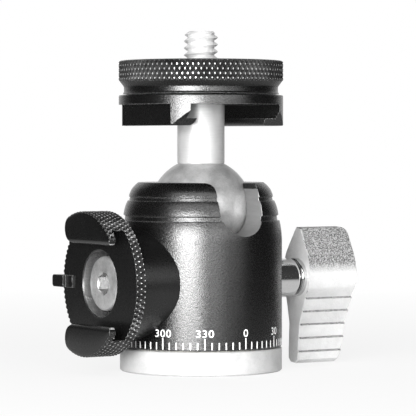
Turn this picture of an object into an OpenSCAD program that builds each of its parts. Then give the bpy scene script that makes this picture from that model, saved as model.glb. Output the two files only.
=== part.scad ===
// Small ball head for a tripod. A panning body on a base, a ball with a stem and a
// camera platform, a lock knob on one side and an accessory shoe on the other.
// Millimetres. The origin is the centre of the underside, +Z is up, the lock knob
// points along +X, the shoe along -X, and the drop notch faces -Y.

/* [Base] */
// Radius of the base disc and of the body above it
body_r = 14.8; // [14.6:0.05:15]
// Height of the base disc
base_h = 4.3; // [4.1:0.05:4.4]
// Major radius of the tripod thread
socket_r = 3.175; // [3.1:0.005:3.2]
// Length of the tripod thread
socket_len = 7.8; // [6:0.1:8]
// Radius of the hub that the body turns on
hub_r = 8; // [7.8:0.05:8.1]

/* [Body] */
// Height of the flat rim above the underside
rim_z = 34.3; // [34.2:0.05:34.5]
// Height at which the side starts to dome
crease_z = 24; // [23:0.1:25]
// Radius of the opening that the stem comes out of
opening_r = 8.1; // [8:0.05:8.2]
// Half width of the drop notch
notch_r = 4.45; // [4.4:0.05:4.7]
// Radius of the rounded upper corners of the notch
notch_corner = 1.1; // [0.5:0.1:2]

/* [Ball and stem] */
// Radius of the ball
ball_r = 9.4; // [9.3:0.01:9.42]
// Height of the centre of the ball
ball_z = 29.3; // [29.2:0.05:29.4]
// Radius of the stem
stem_r = 4.31; // [4.2:0.01:4.35]

/* [Platform] */
// Radius of the platform and of the wheel on it
platform_r = 15; // [14.8:0.05:15.2]
// Height of the underside of the platform
platform_z = 44.6; // [44.5:0.05:44.8]
// Height of the shoulder that the platform rests on
shoulder_z = 48.46; // [48.3:0.01:48.6]
// Height of the top of the platform
flange_z = 50.15; // [50:0.05:50.3]
// Height of the top of the wheel
wheel_z = 56.5; // [56:0.1:57]
// Radius of the camera stud, over its thread
stud_r = 3.1; // [3.05:0.01:3.15]
// Height of the tip of the camera stud
stud_z = 61.8; // [61:0.1:62.5]

/* [Side shoe] */
// Height of the axis that the knob and the shoe share
axis_z = 16.35; // [16.2:0.05:16.5]
// Radius of the boss
boss_r = 10.2; // [10:0.1:10.4]
// Radius of the shoe
shoe_r = 13; // [12.8:0.1:13.2]
// Distance from the middle of the head to the floor of the shoe
shoe_floor = 21.5; // [21.3:0.1:21.7]
// Distance from the middle of the head to the outer face of the lips
shoe_face = 25.3; // [25.1:0.1:25.5]
// Half width of the slot under the lips
slot_half = 9.7; // [9.5:0.05:9.8]
// Half width of the gap between the lips
gap_half = 7.2; // [7:0.05:7.5]
// Thickness of a lip
lip_t = 1.3; // [1.2:0.05:1.4]

/* [Lock knob] */
// Distance from the middle of the head to the inner face of the knob
knob_in = 21.2; // [21:0.1:21.4]
// Distance from the middle of the head to the outer face of the knob
knob_out = 32; // [31.5:0.1:32.5]
// Radius of the polished shank
shank_r = 3.65; // [3.6:0.01:3.7]
// Angle at which the knob stands when the ball is locked
knob_turn = 4; // [-10:0.5:10]
// Number of finger grooves down the arm
groove_count = 5; // [1:1:5]

/* [Hidden] */
$fn = 96;
over = 1;                        // how far a cutter runs past what it cuts
fit = 0.08;                      // running clearance of a turning fit
seat = 0.05;                     // running clearance of the ball and of faces that rub
pan_gap = 0.15;                  // open line between the base and the body
body_z = base_h + pan_gap;

bushing_r = 4.76;
hub_top = 9.9;
pin_circle = 9.3;                // circle of the two wrench holes that drive the pan ring
wrench_r = 1.1;
washer_in = 10.8;
washer_out = 13.6;
washer_sink = 0.35;

bore_r = 10.6;                   // main bore of the body
bore_top = 24.8;
ring_z = 4.6;
ring_top = 8.2;
clip_z = 8.3;
clip_t = 0.8;
clip_groove_r = 7.4;
clip_r = 8.7;

cup_z = 12.9;
cup_top = 24.3;
cup_relief = 5;
cup_skirt = 8.5;
wedge_c = 23.87;                 // a point of the wedge cone has radius + height equal to this
spring_r = 9.4;
spring_wire = 0.45;
spring_turns = 2.5;
spring_sides = 8;
spring_steps = 24;

lock_thread_r = 3;
lock_front = 2.6;
plug_back = 2.5;
plug_nose = -4.5;
plug_tip = -6.45;
plug_r = 2.95;
pilot_r = 1.25;
sleeve_in = 13.4;
sleeve_out = 20;
ring_in = 20.15;
stub_r = 2.5;
stub_out = 29.4;

spigot_r = 2.95;                 // stem inside the ball
spigot_z = 30.4;
neck_z = ball_z + sqrt(ball_r * ball_r - stem_r * stem_r);
stud_foot = 42.5;
stud_relief_r = 2.6;

lip_ease = 1;                    // rounding of the outer edges of the lips
lip_far_end = 2.65;              // rounding of the lips of the shoe at the closed end
lip_near_end = 1;                // and at the open end
top_slot_half = 9.56;
top_gap_half = 7.4;
flat_x = 12.1;
flat_end = 7.8;
bevel_sum = 35.7;                // the bevel plane holds the points where z + y equals this

wheel_gap = 0.2;
wheel_neck_r = 14.07;
wheel_neck_z = 51.7;
knurl_z = 53;
pad_in = 6;
pad_out = 13.2;
pad_t = 0.6;

boss_face = 18.45;
shoe_back = 18.6;
shoe_cone = 19.8;
shoe_spigot_r = 7;
shoe_spigot_x = 16.75;
boss_floor = 16.2;
shoe_bolt_r = 2.5;
head_r = 4.9;
head_face = 20.7;
head_seat = 18.2;
head_bore = 5.95;
tab_w = 2.2;
tab_in = 9.2;
tab_out = 15.5;
tab_deep = 1.1;
tab_proud = 0.9;

arm_foot = 0.2 - axis_z;         // lower end of the arm, from the axis
arm_top = 9.35;                  // upper end of the knob, from the axis
wing_top = 1.1;                  // half width of the flat on top
wing_side = [3.5, 4.5];          // half width and height where the slope ends
belly = 4.45;                    // largest half width
arm_shape = [[-16.4, 1.55], [-8.6, 1.75], [-3, 3.45], [-0.4, belly]];
groove_top = -3.68;              // first finger groove, from the axis
groove_pitch = 2.55;
groove_size = 0.32;
knob_screw_r = 1.5;
knob_screw_head = 2.7;
knob_screw_seat = knob_out - 1.2;

// Points of a smooth curve from a to b that bends towards c, without its first point
function bend(a, c, b, steps) =
    [for (i = [1 : steps]) let (t = i / steps)
        (1 - t) * (1 - t) * a + 2 * t * (1 - t) * c + t * t * b];

// A quarter round of radius r about c, from angle a, without its first point
function round_points(c, r, a, sweep, steps) =
    [for (i = [1 : steps]) let (w = a + sweep * i / steps) c + r * [cos(w), sin(w)]];

// Turned shape about the Z axis, from a list of [radius, height]
module turned(points) {
    rotate_extrude() polygon(points);
}

// Turned shape about the axis of the knob, from a list of [radius, distance along +X]
module turned_x(points) {
    translate([0, 0, axis_z]) rotate([0, 90, 0]) rotate_extrude() polygon(points);
}

// The same along -X, for the shoe
module turned_shoe(points) {
    translate([0, 0, axis_z]) rotate([0, -90, 0]) rotate_extrude() polygon(points);
}

// Rod along +X on the axis of the knob
module rod_x(r, x0, x1) {
    translate([x0, 0, axis_z]) rotate([0, 90, 0]) cylinder(r = r, h = x1 - x0);
}

// An outline that is the same on both sides, from the points of its right side, top first
module both_sides(points) {
    polygon(concat(points, [for (i = [len(points) - 1 : -1 : 0]) [-points[i][0], points[i][1]]]));
}

// Section of the gap between two lips. Height 0 is their outer face, with the edges rounded
module lip_gap(half, deep) {
    both_sides(concat([[half, deep], [half, lip_ease]],
        bend([half, lip_ease], [half, 0], [half + lip_ease, 0], 4), [[half + lip_ease, -over]]));
}

// What rounding an upper lip's end with radius r takes off it, seen along X. The rounding
// crosses the rim and the edge of the lip at a small angle instead of touching them.
module lip_end(r) {
    past = 0.05;
    height = gap_half + r - past;
    centre = [sqrt(pow(shoe_r - r + 2 * past, 2) - pow(height, 2)), height];
    outer = 1.5 * centre;
    difference() {
        polygon([centre, outer, [2 * shoe_r, outer[1]], [2 * shoe_r, gap_half - over],
            [centre[0], gap_half - over]]);
        translate(centre) circle(r = r);
    }
}

module tube(r_out, r_in, z0, z1) {
    translate([0, 0, z0]) difference() {
        cylinder(r = r_out, h = z1 - z0);
        translate([0, 0, -over]) cylinder(r = r_in, h = z1 - z0 + 2 * over);
    }
}

// Silver disc, hub with the clip groove, and the blind bore of the bushing
module base_plate() {
    edge = 0.25;
    color("silver") difference() {
        turned([[0, 0], [body_r - edge, 0], [body_r, edge], [body_r, base_h - edge],
            [body_r - edge, base_h], [hub_r, base_h], [hub_r, clip_z - seat],
            [clip_groove_r, clip_z - seat], [clip_groove_r, clip_z + clip_t + seat],
            [hub_r, clip_z + clip_t + seat], [hub_r, hub_top - edge],
            [hub_r - edge, hub_top], [0, hub_top]]);
        translate([0, 0, -over]) cylinder(r = bushing_r, h = socket_len + over + 0.6);
        tube(washer_out + seat, washer_in - seat, base_h - washer_sink, base_h + over);
        for (side = [-1, 1])
            translate([0, side * pin_circle, -over]) cylinder(r = wrench_r, h = base_h + 2 * over);
    }
}

// Reducer from the wide tripod thread to the narrow one
module base_bushing() {
    color("goldenrod") tube(bushing_r, socket_r, 0, socket_len);
}

module pan_washer() {
    color("ivory") tube(washer_out, washer_in, base_h - washer_sink, body_z - 0.03);
}

// Retaining ring, open on one side so that it can be sprung over the hub
module pan_clip() {
    clip_gap = 3;
    color("dimgray") difference() {
        tube(clip_r, clip_groove_r, clip_z, clip_z + clip_t);
        translate([0, -clip_gap / 2, clip_z - over]) cube([clip_r + over, clip_gap, clip_t + 2 * over]);
    }
}

// Ring that is screwed into the body from below and runs on the hub
module pan_ring() {
    wrench_depth = 1.6;
    color("darkgoldenrod") difference() {
        tube(bore_r, hub_r + fit, ring_z, ring_top);
        for (side = [-1, 1])
            translate([0, side * pin_circle, ring_z - over])
                cylinder(r = wrench_r - 0.2, h = wrench_depth + over);
    }
}

// Upright profile of the notch: round below, open above, corners eased at the rim
module notch_profile() {
    top = rim_z + 4;
    translate([0, ball_z]) circle(r = notch_r);
    translate([-notch_r, ball_z]) square([2 * notch_r, top - ball_z]);
    for (side = [-1, 1]) difference() {
        translate([side > 0 ? notch_r - 0.1 : -notch_r - notch_corner, rim_z - notch_corner])
            square([notch_corner + 0.1, notch_corner + over]);
        translate([side * (notch_r + notch_corner), rim_z - notch_corner]) circle(r = notch_corner);
    }
}

// Black body: straight side, then three tiers with a groove between each pair
module housing() {
    edge = 0.2;
    side = concat([[0, body_z], [body_r - edge, body_z], [body_r, body_z + edge]],
        [[body_r, crease_z]],
        bend([body_r, crease_z], [body_r - 0.1, 26], [body_r - 0.45, 27.35], 3),
        [[13.95, 27.45], [13.85, 28.2], [14.15, 28.4]],
        bend([14.15, 28.4], [13.95, 30], [13.4, 30.95], 4),
        [[13.1, 31.05], [13, 31.6], [13.15, 31.75]],
        bend([13.15, 31.75], [12.95, 33.2], [11.45, rim_z], 5),
        [[0, rim_z]]);
    color("black") difference() {
        turned(side);
        translate([0, 0, body_z - over]) cylinder(r = bore_r, h = bore_top - body_z + over);
        translate([0, 0, bore_top - over]) cylinder(r = ball_r + seat, h = ball_z - bore_top + over);
        translate([0, 0, ball_z]) sphere(r = ball_r + seat);
        translate([0, 0, rim_z - 0.6]) cylinder(r = opening_r, h = over + 0.6);
        rotate([90, 0, 0]) linear_extrude(height = body_r + over) notch_profile();
        rod_x(lock_thread_r + seat, 0, body_r + over);
        rod_x(shank_r + fit, sleeve_in - 0.5, body_r + over);
        rod_x(shoe_bolt_r, -body_r - over, 0);
    }
}

// Round boss with a saddle that sits on the body, and a recess for the shoe's spigot
module side_boss() {
    edge = 0.3;
    saddle = 11;
    color("black") difference() {
        turned_shoe([[0, saddle], [boss_r, saddle], [boss_r, boss_face - edge],
            [boss_r - edge, boss_face], [0, boss_face]]);
        cylinder(r = body_r, h = 2 * axis_z);
        rod_x(shoe_bolt_r, -boss_face - over, 0);
        rod_x(shoe_spigot_r + fit, -boss_face - over, -boss_floor);
    }
}

// Button head screw with a hexagon socket
module shoe_screw() {
    socket_across = 3.7;
    socket_depth = 1.4;
    shank_end = 10.8;
    rim = 0.5;
    color("lightgray") difference() {
        turned_shoe(concat([[0, shank_end], [shoe_bolt_r, shank_end], [shoe_bolt_r, head_seat],
            [head_r, head_seat], [head_r, head_face - rim]],
            bend([head_r, head_face - rim], [head_r, head_face], [head_r - rim, head_face], 4),
            [[0, head_face]]));
        translate([-head_face - over, 0, axis_z]) rotate([0, 90, 0])
            cylinder(d = socket_across, h = socket_depth + over, $fn = 6);
    }
}

module shoe_washer() {
    color("ivory") turned_shoe([[shoe_bolt_r + 0.2, boss_floor], [shoe_spigot_r - 0.2, boss_floor],
        [shoe_spigot_r - 0.2, shoe_spigot_x - seat], [shoe_bolt_r + 0.2, shoe_spigot_x - seat]]);
}

// Accessory shoe: cone, knurled rim, and a slot along Y with two lips over it
module side_shoe() {
    edge = 0.7;
    undercut = shoe_face - lip_t - shoe_floor;
    color("black") difference() {
        turned_shoe(concat([[0, shoe_spigot_x], [shoe_spigot_r, shoe_spigot_x],
            [shoe_spigot_r, shoe_back], [boss_r, shoe_back], [shoe_r, shoe_cone],
            [shoe_r, shoe_face - edge]],
            round_points([shoe_r - edge, shoe_face - edge], edge, 0, 90, 5),
            [[0, shoe_face]]));
        translate([-shoe_floor - undercut, -shoe_r - over, axis_z - slot_half])
            cube([undercut, 2 * (shoe_r + over), 2 * slot_half]);
        translate([-shoe_face, -shoe_r - over, axis_z]) rotate([0, -90, -90])
            linear_extrude(height = 2 * (shoe_r + over)) lip_gap(gap_half, shoe_face - shoe_floor);
        for (side = [0, 1])
            translate([-shoe_floor, 0, axis_z]) mirror([0, 0, side]) rotate([-90, 0, 90])
                linear_extrude(height = shoe_face - shoe_floor + over) {
                    lip_end(lip_far_end);
                    mirror([1, 0]) lip_end(lip_near_end);
                }
        rod_x(shoe_bolt_r + fit, -shoe_face, -shoe_spigot_x + over);
        rod_x(head_bore, -shoe_face, -head_seat + seat);
        translate([-shoe_floor, tab_in, axis_z - tab_w / 2]) cube([tab_deep, shoe_r, tab_w]);
    }
}

// Stop at the closed end of the slot, let into its floor, with a lower inner part
module stop_tab() {
    nib_in = 11.6;
    low = 0.55;
    ease = 0.6;
    color("black") difference() {
        translate([-shoe_floor - tab_proud, 0, axis_z]) rotate([90, 0, 90])
            linear_extrude(height = tab_deep + tab_proud) {
                translate([tab_in, -tab_w / 2]) square([tab_out - ease - tab_in, tab_w]);
                translate([tab_out - 2 * ease, ease - tab_w / 2]) square([2 * ease, tab_w - 2 * ease]);
                for (side = [-1, 1])
                    translate([tab_out - ease, side * (tab_w / 2 - ease)]) circle(r = ease);
            }
        translate([-shoe_floor - tab_proud - over, tab_in - over, axis_z - tab_w])
            cube([low + over, nib_in - tab_in + over, 2 * tab_w]);
    }
}

// Tube along a helix, as one closed surface
function spring_ring(i, steps, z0, rise) =
    let (turn = 360 * spring_turns * i / steps, c = [spring_r * cos(turn), spring_r * sin(turn)])
    [for (k = [0 : spring_sides - 1]) let (w = 360 * k / spring_sides)
        [c[0] * (1 + spring_wire * cos(w) / spring_r), c[1] * (1 + spring_wire * cos(w) / spring_r),
            z0 + rise * i / steps + spring_wire * sin(w)]];

module cup_spring() {
    steps = spring_turns * spring_steps;
    z0 = ring_top + seat + spring_wire;
    rise = cup_z - seat - spring_wire - z0;
    n = spring_sides;
    rings = [for (i = [0 : steps]) each spring_ring(i, steps, z0, rise)];
    walls = [for (i = [0 : steps - 1], k = [0 : n - 1]) let (a = i * n + k, b = i * n + (k + 1) % n)
        each [[a, a + n, b], [b, a + n, b + n]]];
    start = [for (k = [1 : n - 2]) [0, k, k + 1]];
    last = steps * n;
    end = [for (k = [1 : n - 2]) [last, last + k + 1, last + k]];
    color("gray") polyhedron(points = rings, faces = concat(walls, start, end));
}

// Ball with a flat at the foot of the stem and the bore of its spigot
module ball() {
    color("silver") difference() {
        translate([0, 0, ball_z]) sphere(r = ball_r);
        translate([0, 0, neck_z - seat]) cylinder(r = ball_r, h = ball_r);
        translate([0, 0, spigot_z - seat]) cylinder(r = spigot_r + seat, h = ball_r);
    }
}

// Turned column with a spigot below and the stud's bore above
module stem() {
    color("white") difference() {
        turned([[0, spigot_z], [spigot_r, spigot_z], [spigot_r, neck_z], [stem_r, neck_z],
            [stem_r, shoulder_z], [0, shoulder_z]]);
        translate([0, 0, stud_foot]) cylinder(r = stud_r, h = shoulder_z);
    }
}

// Round platform: T-slot along Y, one flat side, near ends of the lips cut at 45 degrees
module top_platform() {
    edge = 0.25;
    reach = platform_r + over;
    color("black") difference() {
        turned([[0, platform_z], [platform_r - edge, platform_z], [platform_r, platform_z + edge],
            [platform_r, flange_z - edge], [platform_r - edge, flange_z], [0, flange_z]]);
        translate([-top_slot_half, -reach, platform_z + lip_t])
            cube([2 * top_slot_half, 2 * reach, shoulder_z - platform_z - lip_t]);
        translate([0, reach, platform_z]) rotate([90, 0, 0])
            linear_extrude(height = 2 * reach) lip_gap(top_gap_half, shoulder_z - platform_z);
        translate([-reach, -reach, platform_z - over])
            cube([reach - flat_x, 2 * reach, shoulder_z - platform_z + over]);
        translate([-reach, flat_end, platform_z - over])
            cube([reach - top_slot_half + 0.1, reach, shoulder_z - platform_z + over]);
        rotate([0, 90, 0]) linear_extrude(height = 2 * reach, center = true)
            polygon([[-platform_z + over, bevel_sum - platform_z + over], [-platform_z + over, -reach],
                [-shoulder_z, -reach], [-shoulder_z, bevel_sum - shoulder_z]]);
        translate([0, 0, platform_z]) cylinder(r = stud_r, h = flange_z);
    }
}

// Stud, with a relief at the top of the wheel and a chamfered tip
module camera_stud() {
    relief = 0.5;
    tip_h = 0.6;
    tip_r = 2.3;
    color("lightgray") turned([[0, stud_foot], [stud_r, stud_foot], [stud_r, wheel_z - relief],
        [stud_relief_r, wheel_z - relief], [stud_relief_r, wheel_z], [stud_r, wheel_z],
        [stud_r, stud_z - tip_h], [tip_r, stud_z], [0, stud_z]]);
}

// Wheel: neck, cone, knurled rim and a recess for the pad
module lock_wheel() {
    edge = 0.3;
    foot = flange_z + wheel_gap;
    flare = 0.2;
    top = wheel_z - seat;
    color("black") turned([[stud_r + fit, foot], [wheel_neck_r + flare, foot],
        [wheel_neck_r, foot + 2 * flare], [wheel_neck_r, wheel_neck_z], [platform_r, knurl_z],
        [platform_r, top - edge], [platform_r - edge, top], [pad_out, top], [pad_out, top - pad_t],
        [pad_in, top - pad_t], [pad_in, top], [stud_r + fit, top]]);
}

module wheel_pad() {
    color("dimgray") tube(pad_out, pad_in, wheel_z - seat - pad_t, wheel_z);
}

// Lower seat of the ball. The cone inside its skirt is what the plug rides on
module ball_cup() {
    cone_top = wedge_c - cup_relief;
    cone_foot = wedge_c - cup_skirt;
    tunnel_half = 3.3;
    tunnel_top = 20.2;
    color("ivory") difference() {
        translate([0, 0, cup_z]) cylinder(r = bore_r - fit, h = cup_top - cup_z);
        translate([0, 0, ball_z]) sphere(r = ball_r + seat);
        turned([[0, cup_z - over], [cup_skirt, cup_z - over], [cup_skirt, cone_foot],
            [cup_relief, cone_top], [cup_relief, ball_z], [0, ball_z]]);
        translate([0, -tunnel_half, cup_z - over])
            cube([bore_r + over, 2 * tunnel_half, tunnel_top - cup_z + over]);
    }
}

// Plug that the screw pushes against the wedge cone
module thrust_plug() {
    nose_r = plug_r + plug_tip - plug_nose;
    socket = 2.5;
    color("darkgoldenrod") turned_x([[0, plug_tip], [nose_r, plug_tip], [plug_r, plug_nose],
        [plug_r, plug_back], [pilot_r + seat, plug_back], [pilot_r + seat, plug_back - socket],
        [0, plug_back - socket]]);
}

// Lock screw: pilot, thread, polished shank and the stub that carries the knob
module lock_screw() {
    pilot_end = 0.1;
    edge = 0.6;
    color("lightgray") difference() {
        turned_x(concat([[0, pilot_end], [pilot_r, pilot_end], [pilot_r, lock_front],
            [lock_thread_r, lock_front], [lock_thread_r, sleeve_in], [shank_r, sleeve_in],
            [shank_r, sleeve_out - edge]],
            round_points([shank_r - edge, sleeve_out - edge], edge, 0, 90, 4),
            [[stub_r, sleeve_out], [stub_r, stub_out], [0, stub_out]]));
        rod_x(knob_screw_r, stub_out - 5.5, stub_out + over);
    }
}

module knob_washer() {
    edge = 0.3;
    r = shank_r - seat;
    color("lightgray") turned_x(concat([[stub_r, ring_in], [r - edge, ring_in]],
        round_points([r - edge, ring_in + edge], edge, -90, 90, 3),
        [[r, knob_in], [stub_r, knob_in]]));
}

// Half width of the knob at a height from the axis, without the grooves
function arm_half(h) = lookup(h, arm_shape);

// Down one side of the arm: each groove steps in along a slope and out along a short ledge
function groove_side() =
    [for (i = [0 : groove_count - 1]) let (h = groove_top - groove_pitch * i)
        each [[arm_half(h) - groove_size, h + groove_size / 2],
            [arm_half(h) + groove_size / 4, h - groove_size / 2]]];

// Outline of the knob seen along its axis
module knob_face() {
    ease = 0.35;
    foot_ease = 0.7;
    neck = [arm_half(-2), -2];
    foot_half = arm_half(arm_foot);
    both_sides(concat([[wing_top - ease, arm_top], [wing_top, arm_top - ease], wing_side],
        bend(wing_side, [belly, 2.2], [belly, 0.4], 4),
        bend([belly, 0.4], [belly, -1.2], neck, 3),
        groove_side(),
        [[foot_half, arm_foot + foot_ease], [foot_half - foot_ease, arm_foot]]));
}

// Outline of the knob seen along Y: a round upper outer corner and a foot drawn in below
module knob_side() {
    corner = 1.4;
    lean = 0.4;
    drawn_in = 1.9;
    bulge = [knob_out - 0.6, arm_foot + 2.4];
    arm_end = [knob_out - 0.5, arm_foot + 5];
    top_x = knob_out - lean - corner;
    polygon(concat([[knob_in, arm_top + over], [knob_in, arm_foot - over],
        [knob_out - drawn_in, arm_foot - over], [knob_out - drawn_in, arm_foot]],
        bend([knob_out - drawn_in, arm_foot], bulge, arm_end, 4),
        [[knob_out, 0], [knob_out - lean, arm_top - corner]],
        round_points([top_x, arm_top - corner], corner, 0, 90, 4),
        [[top_x, arm_top + over]]));
}

// Wing knob, from its two outlines, with the bores of the stub and of the screw
module lock_knob() {
    color("silver") translate([0, 0, axis_z]) rotate([knob_turn, 0, 0]) difference() {
        intersection() {
            translate([knob_in, 0, 0]) rotate([90, 0, 90])
                linear_extrude(height = knob_out - knob_in) knob_face();
            rotate([90, 0, 0]) linear_extrude(height = 2 * platform_r, center = true) knob_side();
        }
        translate([0, 0, -axis_z]) {
            rod_x(stub_r, knob_in - over, stub_out);
            rod_x(knob_screw_r, stub_out - over, knob_out);
            rod_x(knob_screw_head, knob_screw_seat, knob_out + over);
        }
    }
}

module knob_screw() {
    socket_across = 2.2;
    socket_depth = 0.9;
    edge = 0.2;
    foot = stub_out - 5;
    face = knob_out - 0.1;
    r = knob_screw_head - 0.1;
    color("dimgray") difference() {
        turned_x([[0, foot], [knob_screw_r, foot], [knob_screw_r, knob_screw_seat],
            [r, knob_screw_seat], [r, face - edge], [r - edge, face], [0, face]]);
        translate([face - socket_depth, 0, axis_z]) rotate([0, 90, 0])
            cylinder(d = socket_across, h = over, $fn = 6);
    }
}

base_plate();
base_bushing();
pan_washer();
pan_clip();
pan_ring();
housing();
side_boss();
shoe_screw();
shoe_washer();
cup_spring();
ball();
stem();
top_platform();
camera_stud();
lock_wheel();
wheel_pad();
ball_cup();
thrust_plug();
lock_screw();
knob_washer();
lock_knob();
knob_screw();
side_shoe();
stop_tab();
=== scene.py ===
from math import acos, atan, atan2, ceil, cos, degrees, pi, radians, sin, sqrt, tan

import bmesh
import bpy
from mathutils import Matrix, Vector


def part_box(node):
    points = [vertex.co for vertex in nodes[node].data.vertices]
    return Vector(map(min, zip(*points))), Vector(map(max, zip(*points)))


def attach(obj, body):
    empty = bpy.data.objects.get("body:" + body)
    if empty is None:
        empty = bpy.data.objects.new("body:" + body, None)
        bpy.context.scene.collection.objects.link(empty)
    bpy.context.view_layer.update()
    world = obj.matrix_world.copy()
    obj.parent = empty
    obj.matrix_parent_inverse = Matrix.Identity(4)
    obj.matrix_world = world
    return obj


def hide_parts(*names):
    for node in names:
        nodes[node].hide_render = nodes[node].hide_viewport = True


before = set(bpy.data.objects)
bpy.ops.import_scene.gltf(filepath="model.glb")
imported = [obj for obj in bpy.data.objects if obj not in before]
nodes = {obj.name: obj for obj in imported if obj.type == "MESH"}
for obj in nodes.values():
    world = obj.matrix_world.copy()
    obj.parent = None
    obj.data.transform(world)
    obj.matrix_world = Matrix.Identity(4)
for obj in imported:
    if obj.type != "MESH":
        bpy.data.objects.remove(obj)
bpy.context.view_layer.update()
mm = 0.001  # pieces are drawn in millimetres and shrunk to metres when they are finished
over = 1  # how far a cutter reaches past what it cuts
weld = 1e-4  # points closer than this are one
tiny = 1e-6
print("frame loaded:", len(nodes), "nodes")


def boxOf(node):
    low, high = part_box(node)
    return low / mm, high / mm


def placed(name, data):
    made = bpy.data.objects.new(name, data)
    bpy.context.scene.collection.objects.link(made)
    return made


# the camera that took the photograph
photo = {
    "azimuth": -32.7,  # degrees from +Y
    "distance": 475,  # from the axis of the head
    "height": 41.64,
    "focal": 2600,  # pixels
    "pixels": 416,
    "axisPixel": 200.95,
    "horizonPixel": 142,
    "sensor": 36,
    "nearest": 10,  # of what the camera still shows
}


def addCamera():
    p = photo
    turn = radians(p["azimuth"])
    ahead = Vector((-sin(turn), cos(turn), 0))
    middle = p["pixels"] / 2
    down = atan((middle - p["horizonPixel"]) / p["focal"])
    aside = atan((middle - p["axisPixel"]) / p["focal"])
    data = bpy.data.cameras.new("camera")
    data.sensor_width = p["sensor"]
    data.lens = p["focal"] / p["pixels"] * data.sensor_width
    data.clip_start = p["nearest"] * mm
    camera = placed("camera", data)
    camera.location = (ahead * -p["distance"] + Vector((0, 0, p["height"]))) * mm
    camera.rotation_euler = (pi / 2 - down, 0, turn - aside)
    bpy.context.scene.camera = camera
    return ahead


ahead = addCamera()
aside = Vector((ahead.y, -ahead.x, 0))  # to the right in the photograph
print("camera placed")


# node trees, for surfaces and for Geometry Nodes
noiseSpan = (0.3, 0.7)  # nearly all of a noise texture lies between these


def sumOf(operation):
    return lambda self, other: self.plan.call(operation, self, other)


class Wire:  # an output socket that takes part in sums
    def __init__(self, plan, socket):
        self.plan = plan
        self.socket = socket

    __add__ = __radd__ = sumOf("ADD")
    __sub__ = sumOf("SUBTRACT")
    __mul__ = __rmul__ = sumOf("MULTIPLY")
    __truediv__ = sumOf("DIVIDE")
    __mod__ = sumOf("FLOORED_MODULO")

    def __rsub__(self, other):
        return self.plan.call("SUBTRACT", other, self)


class Plan:  # a node tree, and what adds to it
    def __init__(self, tree):
        self.tree = tree

    def add(self, kind, settings=None, inputs=None, output=0):
        made = self.tree.nodes.new(kind)
        for name, value in (settings or {}).items():
            setattr(made, name, value)
        for name, value in (inputs or {}).items():
            if isinstance(value, Wire):
                self.tree.links.new(value.socket, made.inputs[name])
            else:
                made.inputs[name].default_value = value
        return Wire(self, made.outputs[output]) if made.outputs else made

    def call(self, operation, *values):
        return self.add("ShaderNodeMath", {"operation": operation}, dict(enumerate(values)))

    def vector(self, operation, *values, output="Value"):
        inputs = dict(enumerate(values))
        return self.add("ShaderNodeVectorMath", {"operation": operation}, inputs, output)

    def combine(self, x=0.0, y=0.0, z=0.0):
        return self.add("ShaderNodeCombineXYZ", None, {0: x, 1: y, 2: z})

    def parts(self, kind, inputs=None):
        # all that a node gives, by name
        node = self.add(kind, None, inputs).socket.node
        return {socket.name: Wire(self, socket) for socket in node.outputs}

    def ramp(self, value, low, high, start=0.0, end=1.0, kind="LINEAR"):
        inputs = {0: value, 1: low, 2: high, 3: start, 4: end}
        return self.add("ShaderNodeMapRange", {"clamp": True, "interpolation_type": kind}, inputs)

    def rays(self):
        # 1 for a ray from the camera, and 1 for one that a surface has turned aside
        path = self.parts("ShaderNodeLightPath")
        bent = self.call("MAXIMUM", path["Is Glossy Ray"], path["Is Transmission Ray"])
        return path["Is Camera Ray"], bent


class Finish(Plan):  # the node tree of one surface
    def __init__(self, name):
        self.material = bpy.data.materials.new(name)
        self.material.use_nodes = True
        super().__init__(self.material.node_tree)
        self.tree.nodes.clear()
        self.place = self.add("ShaderNodeTexCoord", output="Object")

    def noise(self, size, stretch=(1, 1, 1), detail=3, rough=0.5):
        place = self.add("ShaderNodeMapping", None, {0: self.place, "Scale": stretch})
        return self.add("ShaderNodeTexNoise", None, {
            "Vector": place, "Scale": 1 / (size * mm), "Detail": detail, "Roughness": rough})

    def facing(self):
        # how far a face looks up, from 1 down to -1
        normal = self.add("ShaderNodeTexCoord", output="Normal")
        return self.parts("ShaderNodeSeparateXYZ", {0: normal})["Z"]

    def blend(self, mask, a, b):
        inputs = {0: mask, 6: tint(a), 7: tint(b)}
        return self.add("ShaderNodeMix", {"data_type": "RGBA"}, inputs, 2)

    def edges(self, rounded, low, high):
        # 1 where a rounded normal leaves the face's own
        flat = self.add("ShaderNodeNewGeometry", output="True Normal")
        return self.ramp(1 - self.vector("DOT_PRODUCT", rounded, flat), low, high)

    def about(self, noise, middle, below, above=None):
        # a value that strays from its middle as a noise does
        return self.ramp(noise, *noiseSpan, middle - below, middle + (above or below))

    def bump(self, height, depth, normal=None):
        inputs = {"Height": height, "Distance": depth * mm, "Strength": 1.0}
        if normal:
            inputs["Normal"] = normal
        return self.add("ShaderNodeBump", None, inputs)

    def done(self, **inputs):
        named = {name.replace("_", " "): value for name, value in inputs.items()}
        shader = self.add("ShaderNodeBsdfPrincipled", None, named)
        self.add("ShaderNodeOutputMaterial", None, {"Surface": shader})
        return self.material


def tint(tone):  # a level of grey, red with green and blue, or the output of a node
    if isinstance(tone, Wire):
        return tone
    return (*tone, 1) if isinstance(tone, tuple) else (tone, tone, tone, 1)


anodised = {
    "dark": 0.0012, "light": 0.003, "worn": 0.24, "cloud": 3.0, "grain": 0.2,
    # depth of the grain, and roughness
    "black anodised": (0.036, 0.25), "black anodised, fine": (0.008, 0.29),
    "stray": (0.05, 0.07), "ior": 1.6,
    "edge": 0.1, "wear": (0.02, 0.25),  # how much a rounded edge turns before it is painted the worn tone: partly edge wear, partly a painted highlight along the edge
}


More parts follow.
